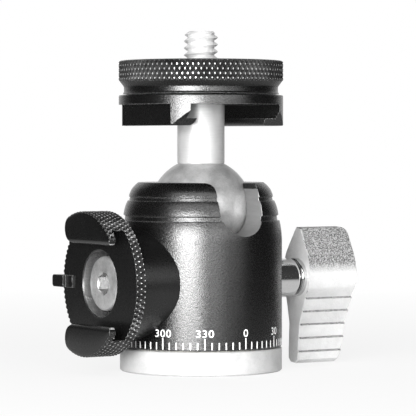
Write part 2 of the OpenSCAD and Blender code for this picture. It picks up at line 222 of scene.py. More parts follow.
def blackAnodised(name):
    s = anodised
    depth, roughness = s[name]
    f = Finish(name)
    grain = f.noise(s["grain"])
    cloud = f.noise(s["cloud"])
    rounded = f.add("ShaderNodeBevel", {"samples": 6}, {"Radius": s["edge"] * mm})
    tone = f.blend(cloud, s["dark"], s["light"])
    # rounded edges are painted in the lighter worn tone: partly edge wear, partly a painted
    # highlight where an edge would catch the light
    return f.done(
        Base_Color=f.blend(f.edges(rounded, *s["wear"]), tone, s["worn"]), IOR=s["ior"],
        Roughness=f.about(grain, roughness, *s["stray"]),
        Normal=f.bump(grain, depth, rounded))


blasting = {
    "cloud": 2.2, "cloudDetail": 4, "cloudRough": 0.65, "grainShare": 0.3, "mix": (0.36, 0.6),
    "edge": 0.08, "stray": 0.05, "speckEdge": (0.4, 0.6),
    "looksUp": (0.03, 0.22),  # faces that look up further than this get the painted shade in specks
}

silver = {
    # dark and light tone, size and depth of the grain, roughness, share of metal
    "blasted silver": (0.56, 0.64, 0.27, 0.1, 0.46, 0.25),
    "satin silver ball": (0.35, 0.5, 0.25, 0.03, 0.38, 0.65),
    "satin silver base": (0.37, 0.45, 0.2, 0.004, 0.48, 0.15),
    "plated screw": (0.3, 0.52, 0.3, 0.03, 0.36, 0.7),
}
upShadeSpecks = {"blasted silver": (0.21, 0.39, 0.07)}  # size of the specks, and their pale and dark tone: a painted shade on faces that look up


def blastedSilver(name):
    dark, light, size, depth, roughness, metal = silver[name]
    b = blasting
    f = Finish(name)
    grain = f.noise(size, detail=2)
    cloud = f.noise(b["cloud"], detail=b["cloudDetail"], rough=b["cloudRough"])
    mix = f.ramp(grain * b["grainShare"] + cloud * (1 - b["grainShare"]), *b["mix"])
    rounded = f.add("ShaderNodeBevel", {"samples": 4}, {"Radius": b["edge"] * mm})
    tone = f.blend(mix, dark, light)
    if name in upShadeSpecks:  # faces that look up are painted darker, in specks: a painted shade, broken up like the blasting's grain
        size, pale, shade = upShadeSpecks[name]
        speck = f.ramp(f.noise(size, detail=1), *b["speckEdge"])
        tone = f.blend(f.ramp(f.facing(), *b["looksUp"]), tone, f.blend(speck, pale, shade))
    return f.done(
        Base_Color=tone, Metallic=metal, Normal=f.bump(grain, depth, rounded),
        Roughness=f.about(cloud, roughness, b["stray"]))


turning = {"stretch": (0.02, 0.02, 1), "cloud": 1.6, "lineShare": 0.6, "mix": (0.35, 0.65),
           "stray": 0.04}

turned = {
    # dark and light tone, roughness, depth and pitch of the tool marks, share of metal
    "black knurl": (0.012, 0.05, 0.24, 0.003, 0.5, 0.5),
    # the crests' light tones are partly rubbed wear and partly a painted highlight on the knurl's
    # crests
    "rubbed wheel crest": (0.2, 0.55, 0.3, 0.002, 0.5, 0.4),
    "rubbed shoe crest": (0.3, 0.8, 0.3, 0.002, 0.5, 0.3),
    "turned silver": (0.41, 0.49, 0.42, 0.002, 0.09, 0.4),
    "rolled thread": (0.5, 0.66, 0.4, 0.003, 0.09, 0.4),
    "bright cut edge": (0.9, 0.98, 0.28, 0.001, 0.09, 1.0),
    "bare bore": (0.45, 0.65, 0.24, 0.003, 0.09, 0.92),
    # the inside of the screw's hex socket is darker than the screw: a painted shade in the recess
    "socket wall": (0.24, 0.34, 0.26, 0.003, 0.09, 0.72),
    "bare corner": (0.45, 0.6, 0.3, 0.002, 0.5, 0.5),
    "spring steel": (0.12, 0.3, 0.35, 0.003, 0.09, 1.0),
    "brass": ((0.55, 0.38, 0.14), (0.75, 0.56, 0.25), 0.3, 0.003, 0.09, 1.0),
}


def turnedMetal(name):
    dark, light, roughness, depth, pitch, metal = turned[name]
    t = turning
    f = Finish(name)
    lines = f.noise(pitch, t["stretch"], detail=2)
    cloud = f.noise(t["cloud"])
    mix = f.ramp(lines * t["lineShare"] + cloud * (1 - t["lineShare"]), *t["mix"])
    return f.done(
        Base_Color=f.blend(mix, dark, light), Metallic=metal, Normal=f.bump(lines, depth),
        Roughness=f.about(cloud, roughness, t["stray"]))


polish = {"waves": 1.2, "stretch": (0.4, 1, 1), "depth": 0.004, "specks": 0.3, "darker": 0.1,
          "polished steel": 0.86, "polished ring": 0.6, "roughness": (0.13, 0.16),
          "speckEdge": (0.4, 0.7)}


def polishedSteel(name):
    p = polish
    f = Finish(name)
    waves = f.noise(p["waves"], p["stretch"], detail=2)
    specks = f.noise(p["specks"], detail=2)
    return f.done(
        Base_Color=f.blend(specks, p[name] - p["darker"], p[name]), Metallic=1.0,
        Roughness=f.ramp(specks, *p["speckEdge"], *p["roughness"]),
        Normal=f.bump(waves, p["depth"]))


grained = {
    # dark and light tone, roughness, size, stretch and depth of the grain, share of metal
    "bare notch wall": (0.12, 0.22, 0.4, 0.5, (1, 0.15, 1), 0.01, 0.5),
    "nylon": ((0.7, 0.68, 0.6), (0.82, 0.8, 0.73), 0.5, 0.4, (1, 1, 1), 0.006, 0.0),
    "rubber": (0.012, 0.03, 0.75, 0.15, (1, 1, 1), 0.006, 0.0),
}
grainStray = 0.06  # of the roughness


def grainedFinish(name):
    dark, light, roughness, size, stretch, depth, metal = grained[name]
    f = Finish(name)
    grain = f.noise(size, stretch)
    return f.done(
        Base_Color=f.blend(grain, dark, light), Metallic=metal, Normal=f.bump(grain, depth),
        Roughness=f.about(grain, roughness, grainStray))


ink = {"wear": 0.12, "wornSpan": (0.25, 0.45), "worn": 0.55, "white": 0.86,
       "roughness": (0.45, 0.6)}


def whitePrint():
    f = Finish("white print")
    wear = f.noise(ink["wear"])
    return f.done(
        Base_Color=f.blend(f.ramp(wear, *ink["wornSpan"]), ink["worn"], ink["white"]),
        Roughness=f.ramp(wear, *noiseSpan, *ink["roughness"]))


black = blackAnodised("black anodised")
blackSmooth = blackAnodised("black anodised, fine")
knurlBlack = turnedMetal("black knurl")
wheelCrestWearAndHighlight = turnedMetal("rubbed wheel crest")
shoeCrestWearAndHighlight = turnedMetal("rubbed shoe crest")
knobSilver = blastedSilver("blasted silver")
ballSilver = blastedSilver("satin silver ball")
baseSilver = blastedSilver("satin silver base")
stemSilver = turnedMetal("turned silver")
threadSteel = turnedMetal("rolled thread")
screwSteel = blastedSilver("plated screw")
cutEdge = turnedMetal("bright cut edge")
bareWall = grainedFinish("bare notch wall")
boreSilver = turnedMetal("bare bore")
socketShadeSteel = turnedMetal("socket wall")
bareCorner = turnedMetal("bare corner")
chrome = polishedSteel("polished steel")
ringSteel = polishedSteel("polished ring")
springSteel = turnedMetal("spring steel")
brass = turnedMetal("brass")
nylon = grainedFinish("nylon")
rubber = grainedFinish("rubber")
printWhite = whitePrint()
print("surfaces made")


# shapes, drawn in millimetres
def eased(corners, steps=4):
    # corners are (x, y) or (x, y, radius); those with a radius are rounded off
    line = []
    for i, corner in enumerate(corners):
        here = Vector(corner[:2])
        if len(corner) < 3:
            line.append(here)
            continue
        before = (Vector(corners[i - 1][:2]) - here).normalized()
        after = (Vector(corners[(i + 1) % len(corners)][:2]) - here).normalized()
        reach = corner[2] / tan(before.angle(after) / 2)
        a, b = here + before * reach, here + after * reach
        line += [a, *bend(a, here, b, steps)]
    return line


def points(*pairs):
    return [Vector(pair) for pair in pairs]


def bend(a, c, b, steps):
    # the curve from a to b that is drawn towards c, without a itself
    a, c, b = points(a, c, b)
    marks = [k / steps for k in range(1, steps + 1)]
    return [a * (1 - t) ** 2 + c * 2 * t * (1 - t) + b * t ** 2 for t in marks]


def mirrored(side):
    return [Vector((-p.x, p.y)) for p in side[::-1]]


def arc(centre, radius, start, end, steps):
    angles = [radians(start + (end - start) * k / steps) for k in range(steps + 1)]
    return [Vector(centre) + radius * Vector((cos(a), sin(a))) for a in angles]


def opened(piece):
    mesh = bmesh.new()
    mesh.from_mesh(piece.data)
    return mesh


def store(mesh, data):
    mesh.to_mesh(data)
    mesh.free()
    return data


def asObject(name, mesh):
    bmesh.ops.recalc_face_normals(mesh, faces=mesh.faces)
    return placed(name, store(mesh, bpy.data.meshes.new(name)))


def band(mesh, low, high):
    # faces between two closed loops of points
    for i in range(len(low)):
        j = (i + 1) % len(low)
        mesh.faces.new((low[i], low[j], high[j], high[i]))


def lathe(name, line, sides=144, ring=False):
    # turns (radius, height) points about Z; ring joins the last point to the first
    mesh = bmesh.new()
    rows = []
    for radius, height in line:
        count = sides if radius > tiny else 1
        angles = [2 * pi * i / sides for i in range(count)]
        rows.append([mesh.verts.new((radius * cos(a), radius * sin(a), height))
                     for a in angles])
    pairs = list(zip(rows, rows[1:])) + ([(rows[-1], rows[0])] if ring else [])
    for low, high in pairs:
        for i in range(sides):
            j = (i + 1) % sides
            loop = [low[i % len(low)], low[j % len(low)],
                    high[j % len(high)], high[i % len(high)]]
            loop = list(dict.fromkeys(loop))
            if len(loop) > 2:
                mesh.faces.new(loop)
    return asObject(name, mesh)


def prism(name, outline, low, high, toPlace):
    # an outline drawn in XY, raised from low to high, then turned by toPlace
    mesh = bmesh.new()
    floor = [mesh.verts.new((p[0], p[1], low)) for p in outline]
    roof = [mesh.verts.new((p[0], p[1], high)) for p in outline]
    mesh.faces.new(floor[::-1])
    mesh.faces.new(roof)
    band(mesh, floor, roof)
    made = asObject(name, mesh)
    made.data.transform(toPlace)
    if toPlace.determinant() < 0:
        made.data.flip_normals()
    return made


def rod(name, radius, low, high, sides=64):
    return lathe(name, [(0, low), (radius, low), (radius, high), (0, high)], sides)


def block(name, low, high):
    outline = [(low[0], low[1]), (high[0], low[1]), (high[0], high[1]), (low[0], high[1])]
    return prism(name, outline, low[2], high[2], Matrix())


def evaluated(thing):
    # the mesh that the modifiers or the letters of a thing make
    bpy.context.view_layer.update()
    graph = bpy.context.evaluated_depsgraph_get()
    return bpy.data.meshes.new_from_object(thing.evaluated_get(graph))


def settle(piece):
    made = evaluated(piece)
    piece.modifiers.clear()
    piece.data = made


def cut(piece, cutter, how="DIFFERENCE"):  # the cutter is used up
    tool = piece.modifiers.new("cut", "BOOLEAN")
    tool.object = cutter
    tool.operation = how
    tool.solver = "EXACT"
    tool.material_mode = "TRANSFER"
    settle(piece)
    bpy.data.objects.remove(cutter)


def coat(piece, *materials):
    piece.data.materials.clear()
    for material in materials:
        piece.data.materials.append(material)
    return piece


def mark(piece, test):
    # faces that pass the test get the second material
    for face in piece.data.polygons:
        face.material_index = int(test(face))
    return piece


def finish(piece, body, replaces=(), sharp=32):
    mesh = opened(piece)
    bmesh.ops.remove_doubles(mesh, verts=mesh.verts, dist=weld)
    bmesh.ops.dissolve_degenerate(mesh, edges=mesh.edges, dist=weld)
    bmesh.ops.holes_fill(mesh, edges=mesh.edges, sides=6)
    store(mesh, piece.data)
    piece.data.transform(Matrix.Scale(mm, 4))
    piece.data.shade_smooth()
    piece.data.set_sharp_from_angle(angle=radians(sharp))
    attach(piece, body)
    if replaces:
        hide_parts(*replaces)


axisHeight = sum(corner.z for corner in boxOf("knob_washer")) / 2
toAxis = Matrix.Translation((0, 0, axisHeight))
towardsKnob = toAxis @ Matrix.Rotation(pi / 2, 4, "Y")
towardsShoe = toAxis @ Matrix.Rotation(-pi / 2, 4, "Y")
upright = Matrix.Rotation(pi / 2, 4, "X")  # stands up what is drawn in XY


# Geometry Nodes trees for knurl, thread and scale
def nodeTree(name, **inputs):
    # a tree whose inputs are named for each kind
    tree = bpy.data.node_groups.new(name, "GeometryNodeTree")
    for kind, names in {"Geometry": ["Geometry"], **inputs}.items():
        for each in names:
            tree.interface.new_socket(each, in_out="INPUT", socket_type="NodeSocket" + kind)
    tree.interface.new_socket("Geometry", in_out="OUTPUT", socket_type="NodeSocketGeometry")
    plan = Plan(tree)
    return plan, plan.parts("NodeGroupInput")


def runTree(piece, tree, values):
    tool = piece.modifiers.new("nodes", "NODES")
    tool.node_group = tree
    for item in tree.interface.items_tree:
        if item.in_out == "INPUT" and item.name in values:
            tool[item.identifier] = values[item.name]
    settle(piece)


treeWeld = 0.01  # points of a knurl or thread closer than this are one


def joined(plan, geometry, material):
    made = plan.add("GeometryNodeRealizeInstances", None, {0: geometry})
    made = plan.add("GeometryNodeMergeByDistance", None, {0: made, "Distance": treeWeld})
    return plan.add("GeometryNodeSetMaterial", None, {0: made, "Material": material})


def stoodRound(plan, shape, count, height, angle, size=(1, 1, 1)):
    # a copy of the shape for each point of a line, turned about Z
    spots = plan.add("GeometryNodeMeshLine", None, {"Count": count})
    spots = plan.add("GeometryNodeSetPosition", None, {
        0: spots, "Position": plan.combine(z=height)})
    return plan.add("GeometryNodeInstanceOnPoints", None, {
        "Points": spots, "Instance": shape, "Rotation": plan.combine(z=angle), "Scale": size})


def knurlTree():
    # stands one tooth round a cylinder, each second row half a tooth on
    plan, given = nodeTree(
        "knurl", Int=["Round", "Rows"], Float=["Row height", "Start", "Crest radius"],
        Material=["Material", "Crest"])
    index = plan.add("GeometryNodeInputIndex")
    row = plan.call("FLOOR", index / given["Round"])
    column = index % given["Round"]
    angle = (column + (row % 2) * 0.5) / given["Round"] * (2 * pi)
    height = row * given["Row height"] + given["Start"]
    count = given["Round"] * given["Rows"]
    teeth = stoodRound(plan, given["Geometry"], count, height, angle)
    teeth = joined(plan, teeth, given["Material"])
    place = plan.add("GeometryNodeInputPosition")
    radius = plan.vector("LENGTH", plan.vector("MULTIPLY", place, (1, 1, 0), output=0))
    # the outermost part of each tooth gets the crest finish, partly rubbed wear and partly a
    # painted highlight
    isCrest = plan.add("FunctionNodeCompare", {"data_type": "FLOAT"}, {
        0: radius, 1: given["Crest radius"]})
    teeth = plan.add("GeometryNodeSetMaterial", None, {
        0: teeth, 1: isCrest, "Material": given["Crest"]})
    plan.add("NodeGroupOutput", None, {0: teeth})
    return plan.tree


threading = {
    "pitch": 1.27, "crest": 0.1, "root": 0.9,  # crest and root are shares of half a tooth
    "steps": 8, "sides": 48,
    "before": 2, "after": 1,  # turns to spare at each end
}


def threadTree():
    # winds a grid of one tooth of thread into a helix, so that each turn meets the next
    plan, given = nodeTree(
        "thread", Float=["Radius", "Depth", "Pitch", "Start", "Crest", "Root"],
        Int=["Turns"], Material=["Material"])
    grid = plan.add("GeometryNodeMeshGrid", None, {
        0: given["Turns"] * 1.0, 1: 1.0,
        2: given["Turns"] * threading["sides"] + 1, 3: threading["steps"] + 1})
    place = plan.parts("ShaderNodeSeparateXYZ", {0: plan.add("GeometryNodeInputPosition")})
    turn = place["X"] + given["Turns"] * 0.5
    across = place["Y"] + 0.5
    edge = plan.call("ABSOLUTE", across * 2 - 1)
    radius = given["Radius"] - given["Depth"] * plan.ramp(edge, given["Crest"], given["Root"])
    angle = turn * (2 * pi)
    moved = plan.combine(
        radius * plan.call("COSINE", angle), radius * plan.call("SINE", angle),
        (turn + across) * given["Pitch"] + given["Start"])
    made = plan.add("GeometryNodeSetPosition", None, {0: grid, "Position": moved})
    plan.add("NodeGroupOutput", None, {0: joined(plan, made, given["Material"])})
    return plan.tree


def scaleTree():
    # stands one tick round a cylinder, some of them longer
    plan, given = nodeTree(
        "scale", Int=["Count", "Every"], Float=["Long", "Foot"], Material=["Material"])
    index = plan.add("GeometryNodeInputIndex")
    angle = index / given["Count"] * (2 * pi)
    isLong = plan.call("COMPARE", index % given["Every"], 0.0, 0.1)
    stretch = plan.combine(1.0, 1.0, isLong * (given["Long"] - 1.0) + 1.0)
    ticks = stoodRound(plan, given["Geometry"], given["Count"], given["Foot"], angle, stretch)
    plan.add("NodeGroupOutput", None, {0: joined(plan, ticks, given["Material"])})
    return plan.tree


knurl, thread, scaleRing = knurlTree(), threadTree(), scaleTree()


knurling = {
    "pitch": 0.97, "helix": 30, "depth": 0.3,
    "skin": 0.003,  # how far the crests stay inside the radius
    "rubbed": 0.2,  # share of the depth that counts as crest, and gets the lighter crest tone: rubbed wear and a painted highlight
    "skirt": 1,  # how far the plain part stands out
}


def knurlShell(name, radius, k, crestMetal):
    # a solid whose side is a knurl from k["from"] up, and a plain wide cylinder below
    k = {**knurling, **k}
    tooth = bmesh.new()
    half = pi / k["round"]
    rise = k["pitch"] / 2 / tan(radians(k["helix"]))
    foot = radius - k["depth"]
    sides = ((-1, 0), (0, -1), (1, 0), (0, 1))

    def ringAt(r, share):
        return [tooth.verts.new((r * cos(a * half * share), r * sin(a * half * share),
                                 b * rise * share)) for a, b in sides]

    crest = radius - k["skin"]
    low, top = ringAt(foot, 1), ringAt(crest, k["flat"])
    band(tooth, low, top)
    tooth.faces.new(top)
    piece = asObject(name, tooth)
    rows = ceil((k["to"] - k["from"]) / rise) + 1
    runTree(piece, knurl, {
        "Round": k["round"], "Rows": rows, "Row height": rise, "Start": k["from"],
        "Crest radius": crest - k["rubbed"] * k["depth"],
        "Material": knurlBlack, "Crest": crestMetal})
    mesh = opened(piece)
    loose = [e for e in mesh.edges if e.is_boundary]
    middle = (k["from"] + k["to"]) / 2
    lower = [e for e in loose if e.verts[0].co.z < middle]
    upper = [e for e in loose if e.verts[0].co.z > middle]
    for depth in (0, k["below"]):
        made = bmesh.ops.extrude_edge_only(mesh, edges=lower)["geom"]
        for v in [g for g in made if isinstance(g, bmesh.types.BMVert)]:
            flat = v.co.xy.normalized() * (radius + k["skirt"])
            v.co = (flat.x, flat.y, v.co.z if depth == 0 else k["from"] - depth)
        lower = [g for g in made if isinstance(g, bmesh.types.BMEdge)]
    bmesh.ops.contextual_create(mesh, geom=lower)
    bmesh.ops.contextual_create(mesh, geom=upper)
    bmesh.ops.recalc_face_normals(mesh, faces=mesh.faces)
    store(mesh, piece.data)
    piece.data.transform(Matrix.Rotation(radians(k["turn"]), 4, "Z"))
    return piece


def threadRod(name, t, material):
    # a closed rod of thread, longer than what is kept of it
    t = {**threading, **t}
    seed = block(name, (-1, -1, -1), (1, 1, 1))
    turns = ceil((t["to"] - t["from"]) / t["pitch"]) + t["before"] + t["after"]
    runTree(seed, thread, {
        "Radius": t["radius"], "Depth": t["depth"], "Pitch": t["pitch"], "Turns": turns,
        "Start": t["from"] - t["before"] * t["pitch"], "Crest": t["crest"], "Root": t["root"],
        "Material": material})
    mesh = opened(seed)
    ends = [e for e in mesh.edges if e.is_boundary]
    middle = (t["from"] + t["to"]) / 2
    for side in (-1, 1):
        loop = [e for e in ends if (e.verts[0].co.z - middle) * side > 0]
        bmesh.ops.contextual_create(mesh, geom=loop)
    bmesh.ops.recalc_face_normals(mesh, faces=mesh.faces)
    store(mesh, seed.data)
    return seed


wheel = {
    "neck": 14.07, "neckTop": 51.7, "neckEase": 0.5, "coneTop": 53.0, "coneEase": 0.15,
    "flare": 0.2, "topEdge": 0.6, "bore": 3.18, "boreEdge": 0.3,
    "past": 0.05,  # the knurl is what gives the radius
    "knurl": {"round": 97, "flat": 0.28, "from": 53.0, "to": 58.0, "below": 8, "turn": 0.0},
    "padIn": 6.0, "padOut": 13.2, "padDeep": 0.6, "padLip": 0.2, "padGap": 0.02, "padRim": 0.3,
    "ribs": 12, "ribDeep": 0.18, "ribShare": 0.2,
}


def makeWheel():
    w = wheel
    low, high = boxOf("lock_wheel")
    radius = high.x
    padFloor = high.z - w["padDeep"]
    line = eased([
        (w["bore"], low.z), (w["neck"] + w["flare"], low.z),
        (w["neck"], low.z + 2 * w["flare"]), (w["neck"], w["neckTop"], w["neckEase"]),
        (radius + w["past"], w["coneTop"], w["coneEase"]),
        (radius + w["past"], high.z, w["topEdge"]),
        (w["padOut"] + w["padLip"], high.z), (w["padOut"], high.z - w["padLip"]),
        (w["padOut"], padFloor), (w["padIn"], padFloor), (w["padIn"], high.z),
        (w["bore"] + w["boreEdge"], high.z), (w["bore"], high.z - w["boreEdge"])])
    piece = coat(lathe("lock_wheel_knurled", line, sides=192, ring=True), black)
    cut(piece, knurlShell("wheel_knurl", radius, w["knurl"], wheelCrestWearAndHighlight), "INTERSECT")
    finish(piece, "wheel", ["lock_wheel"], sharp=24)


def makePad():
    w = wheel
    low, high = boxOf("wheel_pad")
    inner, outer = w["padIn"] + w["padGap"], w["padOut"] - w["padGap"]
    line = [(inner, low.z), (outer, low.z), (outer, high.z)]
    step = (w["padOut"] - w["padIn"] - 2 * w["padRim"]) / w["ribs"]
    for k in range(w["ribs"]):
        r = w["padOut"] - w["padRim"] - k * step
        line += [(r, high.z), (r - step * w["ribShare"], high.z - w["ribDeep"]),
                 (r - step * 2 * w["ribShare"], high.z)]
    line.append((inner, high.z))
    piece = coat(lathe("wheel_pad_ribbed", line, ring=True), rubber)
    finish(piece, "wheel", ["wheel_pad"])


stud = {
    "core": 2.35, "undercut": 0.5, "leadIn": 0.3,
    "past": 0.05,  # the thread is what gives the radius
    "thread": {"radius": 3.1, "depth": 0.72, "from": 50, "to": 61.8},
    "tip": 0.75, "tipIn": 0.1, "tipEase": 0.15,
}


def makeStud():
    s = stud
    low, high = boxOf("camera_stud")
    radius = high.x
    wheelTop = boxOf("lock_wheel")[1].z
    neck = wheelTop - s["undercut"]
    piece = coat(lathe("camera_stud_threaded", eased([
        (0, low.z), (radius, low.z), (radius, neck), (s["core"], neck), (s["core"], wheelTop),
        (radius + s["past"], wheelTop + s["leadIn"]), (radius + s["past"], high.z - s["tip"]),
        (s["core"] - s["tipIn"], high.z, s["tipEase"]), (0, high.z)])), threadSteel)
    cut(piece, threadRod("stud_thread", s["thread"], threadSteel), "INTERSECT")
    finish(coat(piece, threadSteel), "stem", ["camera_stud"], sharp=40)


makeWheel()
makePad()
makeStud()
print("wheel and stud made")


platform = {
    "lip": 1.3, "lipEase": 1.0, "shoulder": 48.46, "slotHalf": 9.56, "gapHalf": 7.4,
    "flat": 12.1, "flatEnd": 7.8, "flatOver": 0.1, "edge": 0.25, "reach": 17, "bore": 3.1,
    "bevelSum": 35.7,  # height and distance along Y add up to this on the near bevel
}


def lipGap(half, deep, ease):
    # the gap between two lips, with height 0 at their outer face
    side = points((half, deep), (half, ease))
    side += bend((half, ease), (half, 0), (half + ease, 0), steps=6)
    side += points((half + ease, -over))
    return side + mirrored(side)


def makePlatform():
    p = platform
    low, high = boxOf("top_platform")
    radius, reach, shoulder = high.x, p["reach"], p["shoulder"]
    below = low.z - over
    piece = coat(lathe("platform_with_slot", eased([
        (0, low.z), (radius, low.z, p["edge"]), (radius, high.z, p["edge"]), (0, high.z)]),
        sides=160), black)
    alongY = Matrix.Translation((0, reach, low.z)) @ upright
    cut(piece, prism("gap", lipGap(p["gapHalf"], shoulder - low.z, p["lipEase"]),
                     0, 2 * reach, alongY))
    cut(piece, block("slot", (-p["slotHalf"], -reach, low.z + p["lip"]),
                     (p["slotHalf"], reach, shoulder)))
    cut(piece, block("side", (-reach, -reach, below), (-p["flat"], reach, shoulder)))
    cut(piece, block("far end", (-reach, p["flatEnd"], below),
                     (-p["slotHalf"] + p["flatOver"], reach, shoulder)))
    slope = [(p["bevelSum"] - below, below), (-reach, below),
             (-reach, shoulder), (p["bevelSum"] - shoulder, shoulder)]
    alongX = Matrix(((0, 0, 1, 0), (1, 0, 0, 0), (0, 1, 0, 0), (0, 0, 0, 1)))
    cut(piece, prism("near bevel", slope, -reach, reach, alongX))
    cut(piece, rod("bore", p["bore"], low.z, high.z + over))
    finish(piece, "stem", ["top_platform"], sharp=28)


makePlatform()
print("platform made")


stem = {"gap": 0.05, "footTop": 0.25, "footEase": 0.15}  # the first two are above the ball


def makeBallAndStem():
    low, high = boxOf("ball")
    radius, neck = high.x, high.z
    top = boxOf("stem")[1]
    start = degrees(acos(top.x / radius))
    line = [(0, neck)] + arc((0, low.z + radius), radius, start, -90, steps=48)
    line[-1] = Vector((0, low.z))
    piece = coat(lathe("ball_satin", line[::-1], sides=160), ballSilver)
    finish(piece, "ball", ["ball"])
    foot = neck + stem["gap"]
    line = [(0, foot), (top.x - stem["footEase"], foot), (top.x, neck + stem["footTop"]),
            (top.x, top.z), (0, top.z)]
    piece = coat(lathe("stem_turned", line, sides=128), stemSilver)
    finish(piece, "stem", ["stem"])


makeBallAndStem()
print("ball and stem made")


body = {
    "edge": 0.2, "bore": 10.6, "boreTop": 24.8, "socket": 9.45,
    "ballHeight": 29.3, "opening": 8.1, "screwHole": 3.73, "screwSpan": (12, 17),
    "notch": 4.45, "notchCorner": 1.1, "notchEdge": 0.08, "notchSteps": 4,
    "wallPoints": (3, 2, 1),  # heights above the ball's middle
    # the outside above the crease, as (radius, height); in lean and shoulder the first
    # number is how far in from the full radius
    "crease": 24.0, "lean": (0.1, 26), "shoulder": (0.45, 27.35),
    "lowGroove": ((13.95, 27.45), (13.85, 28.2), (14.15, 28.4)),
    "collar": ((13.95, 30), (13.4, 30.95)),
    "highGroove": ((13.1, 31.05), (13.0, 31.6), (13.15, 31.75)),
    "dome": (12.95, 33.2), "rim": 11.45,
}


def bodyLine(low, high):
    b = body
    r, rim = high.x, high.z
    leanIn, leanTop = b["lean"]
    shoulderIn, shoulderTop = b["shoulder"]
    line = points((0, low.z), (r - b["edge"], low.z), (r, low.z + b["edge"]), (r, b["crease"]))
    line += bend(line[-1], (r - leanIn, leanTop), (r - shoulderIn, shoulderTop), steps=8)
    line += points(*b["lowGroove"])
    line += bend(line[-1], *b["collar"], steps=8)
    line += points(*b["highGroove"])
    line += bend(line[-1], b["dome"], (b["rim"], rim), steps=12)
    return line + points((0, rim))


def radiusAt(line, height):
    # radius of a turned line at a height, counting from its widest foot up
    for a, b in zip(line[2:], line[3:]):
        if a.y <= height <= b.y and b.y > a.y:
            return a.x + (b.x - a.x) * (height - a.y) / (b.y - a.y)
    return line[-2].x


def notchLine(rim):
    # half width and height down the right side of the notch and up the left one
    half, corner, middle = body["notch"], body["notchCorner"], body["ballHeight"]
    side = arc((half + corner, rim - corner), corner, 90, 180, steps=8)
    side += points(*[(half, middle + h) for h in body["wallPoints"]])
    side += arc((0, middle), half, 0, -90, steps=16)
    return side + mirrored(side[:-1])


def notchChamfer(line, outline):
    # a square tube along the outer edge of the notch: what it takes off is the chamfer
    size, steps = body["notchEdge"], body["notchSteps"]
    mesh = bmesh.new()
    rings = []
    fine = []
    for a, b in zip(outline, outline[1:]):
        fine += [a.lerp(b, k / steps) for k in range(steps)]
    fine.append(outline[-1])
    for i, p in enumerate(fine):
        r = radiusAt(line, p.y)
        spot = Vector((p.x, -sqrt(max(r * r - p.x * p.x, 0)), p.y))
        along = (fine[min(i + 1, len(fine) - 1)] - fine[max(i - 1, 0)]).normalized()
        away = Vector((-along.y, 0, along.x))  # across the edge, in the outline's plane
        out = Vector((0, -1, 0))
        rings.append([mesh.verts.new(spot + d * size) for d in (out, away, -out, -away)])
    for a, b in zip(rings, rings[1:]):
        band(mesh, a, b)
    mesh.faces.new(rings[0][::-1])
    mesh.faces.new(rings[-1])
    return coat(asObject("notch chamfer", mesh), bareWall)


def makeBody():
    b = body
    low, high = boxOf("housing")
    line = bodyLine(low, high)
    piece = coat(lathe("body_turned", line, sides=192), black)
    socket, middle, opening = b["socket"], b["ballHeight"], b["opening"]
    below, above = low.z - over, high.z + over
    top = degrees(acos(opening / socket))
    bore = [(0, below), (b["bore"], below), (b["bore"], b["boreTop"]),
            (socket, b["boreTop"])]
    bore += arc((0, middle), socket, 0, top, steps=8) + [(opening, above), (0, above)]
    cut(piece, coat(lathe("bore", bore, sides=128), blackSmooth))
    hole = rod("hole", b["screwHole"], *b["screwSpan"])
    hole.data.transform(towardsKnob)
    cut(piece, coat(hole, blackSmooth))
    outline = notchLine(high.z)
    roof = points(*[(side * outline[0].x, above + over) for side in (-1, 1)])
    notch = prism("notch", outline + roof, 0, high.x + over, upright)
    coat(notch, bareWall, blackSmooth)
    cut(piece, mark(notch, lambda face: face.center.z > high.z - b["notchCorner"]))
    cut(piece, notchChamfer(line, outline))
    finish(piece, "body", ["housing"], sharp=30)


makeBody()
print("body made")


scale = {
    "count": 72, "width": 0.21, "foot": 4.72, "short": 1.25, "proud": 0.02, "deep": 0.1,
    "every": 6, "long": 1.6,  # every sixth tick is longer, by this factor
    "numberFoot": 6.95, "numberHeight": 1.32, "widen": 1.1, "spacing": 1.1, "bold": 0.003,
    "step": 30,
    "zeroAt": -90,  # degrees from +X
}


def makeScale():
    s = scale
    radius = boxOf("housing")[1].x + s["proud"]
    half = s["width"] / 2 / radius
    inner = radius - s["deep"]
    outline = [(r * cos(a), r * sin(a)) for r, a in (
        (inner, -half), (radius, -half), (radius, half), (inner, half))]
    piece = prism("scale_ticks", outline, 0, s["short"], Matrix())
    runTree(piece, scaleRing, {
        "Count": s["count"], "Every": s["every"], "Long": s["long"],
        "Foot": s["foot"], "Material": printWhite})
    finish(piece, "body")

    mesh = bmesh.new()
    for number in range(0, 360, s["step"]):
        curve = bpy.data.curves.new("number", "FONT")
        curve.body = str(number)
        curve.align_x = "CENTER"
        curve.size = 1
        curve.offset = s["bold"]
        curve.space_character = s["spacing"]
        text = placed("number", curve)
        flat = evaluated(text)
        bpy.data.objects.remove(text)
        tall = max(v.co.y for v in flat.vertices)
        size = s["numberHeight"] / tall
        middle = radians(number + s["zeroAt"])
        for v in flat.vertices:
            angle = middle + v.co.x * size * s["widen"] / radius
            v.co = (radius * cos(angle), radius * sin(angle),
                    s["numberFoot"] + v.co.y * size)
        mesh.from_mesh(flat)
    bmesh.ops.remove_doubles(mesh, verts=mesh.verts, dist=weld)
    numbers = asObject("scale_numbers", mesh)
    for face in numbers.data.polygons:
        if face.normal.dot(Vector((face.center.x, face.center.y, 0))) < 0:
            face.flip()
    finish(coat(numbers, printWhite), "body")


makeScale()
print("scale made")


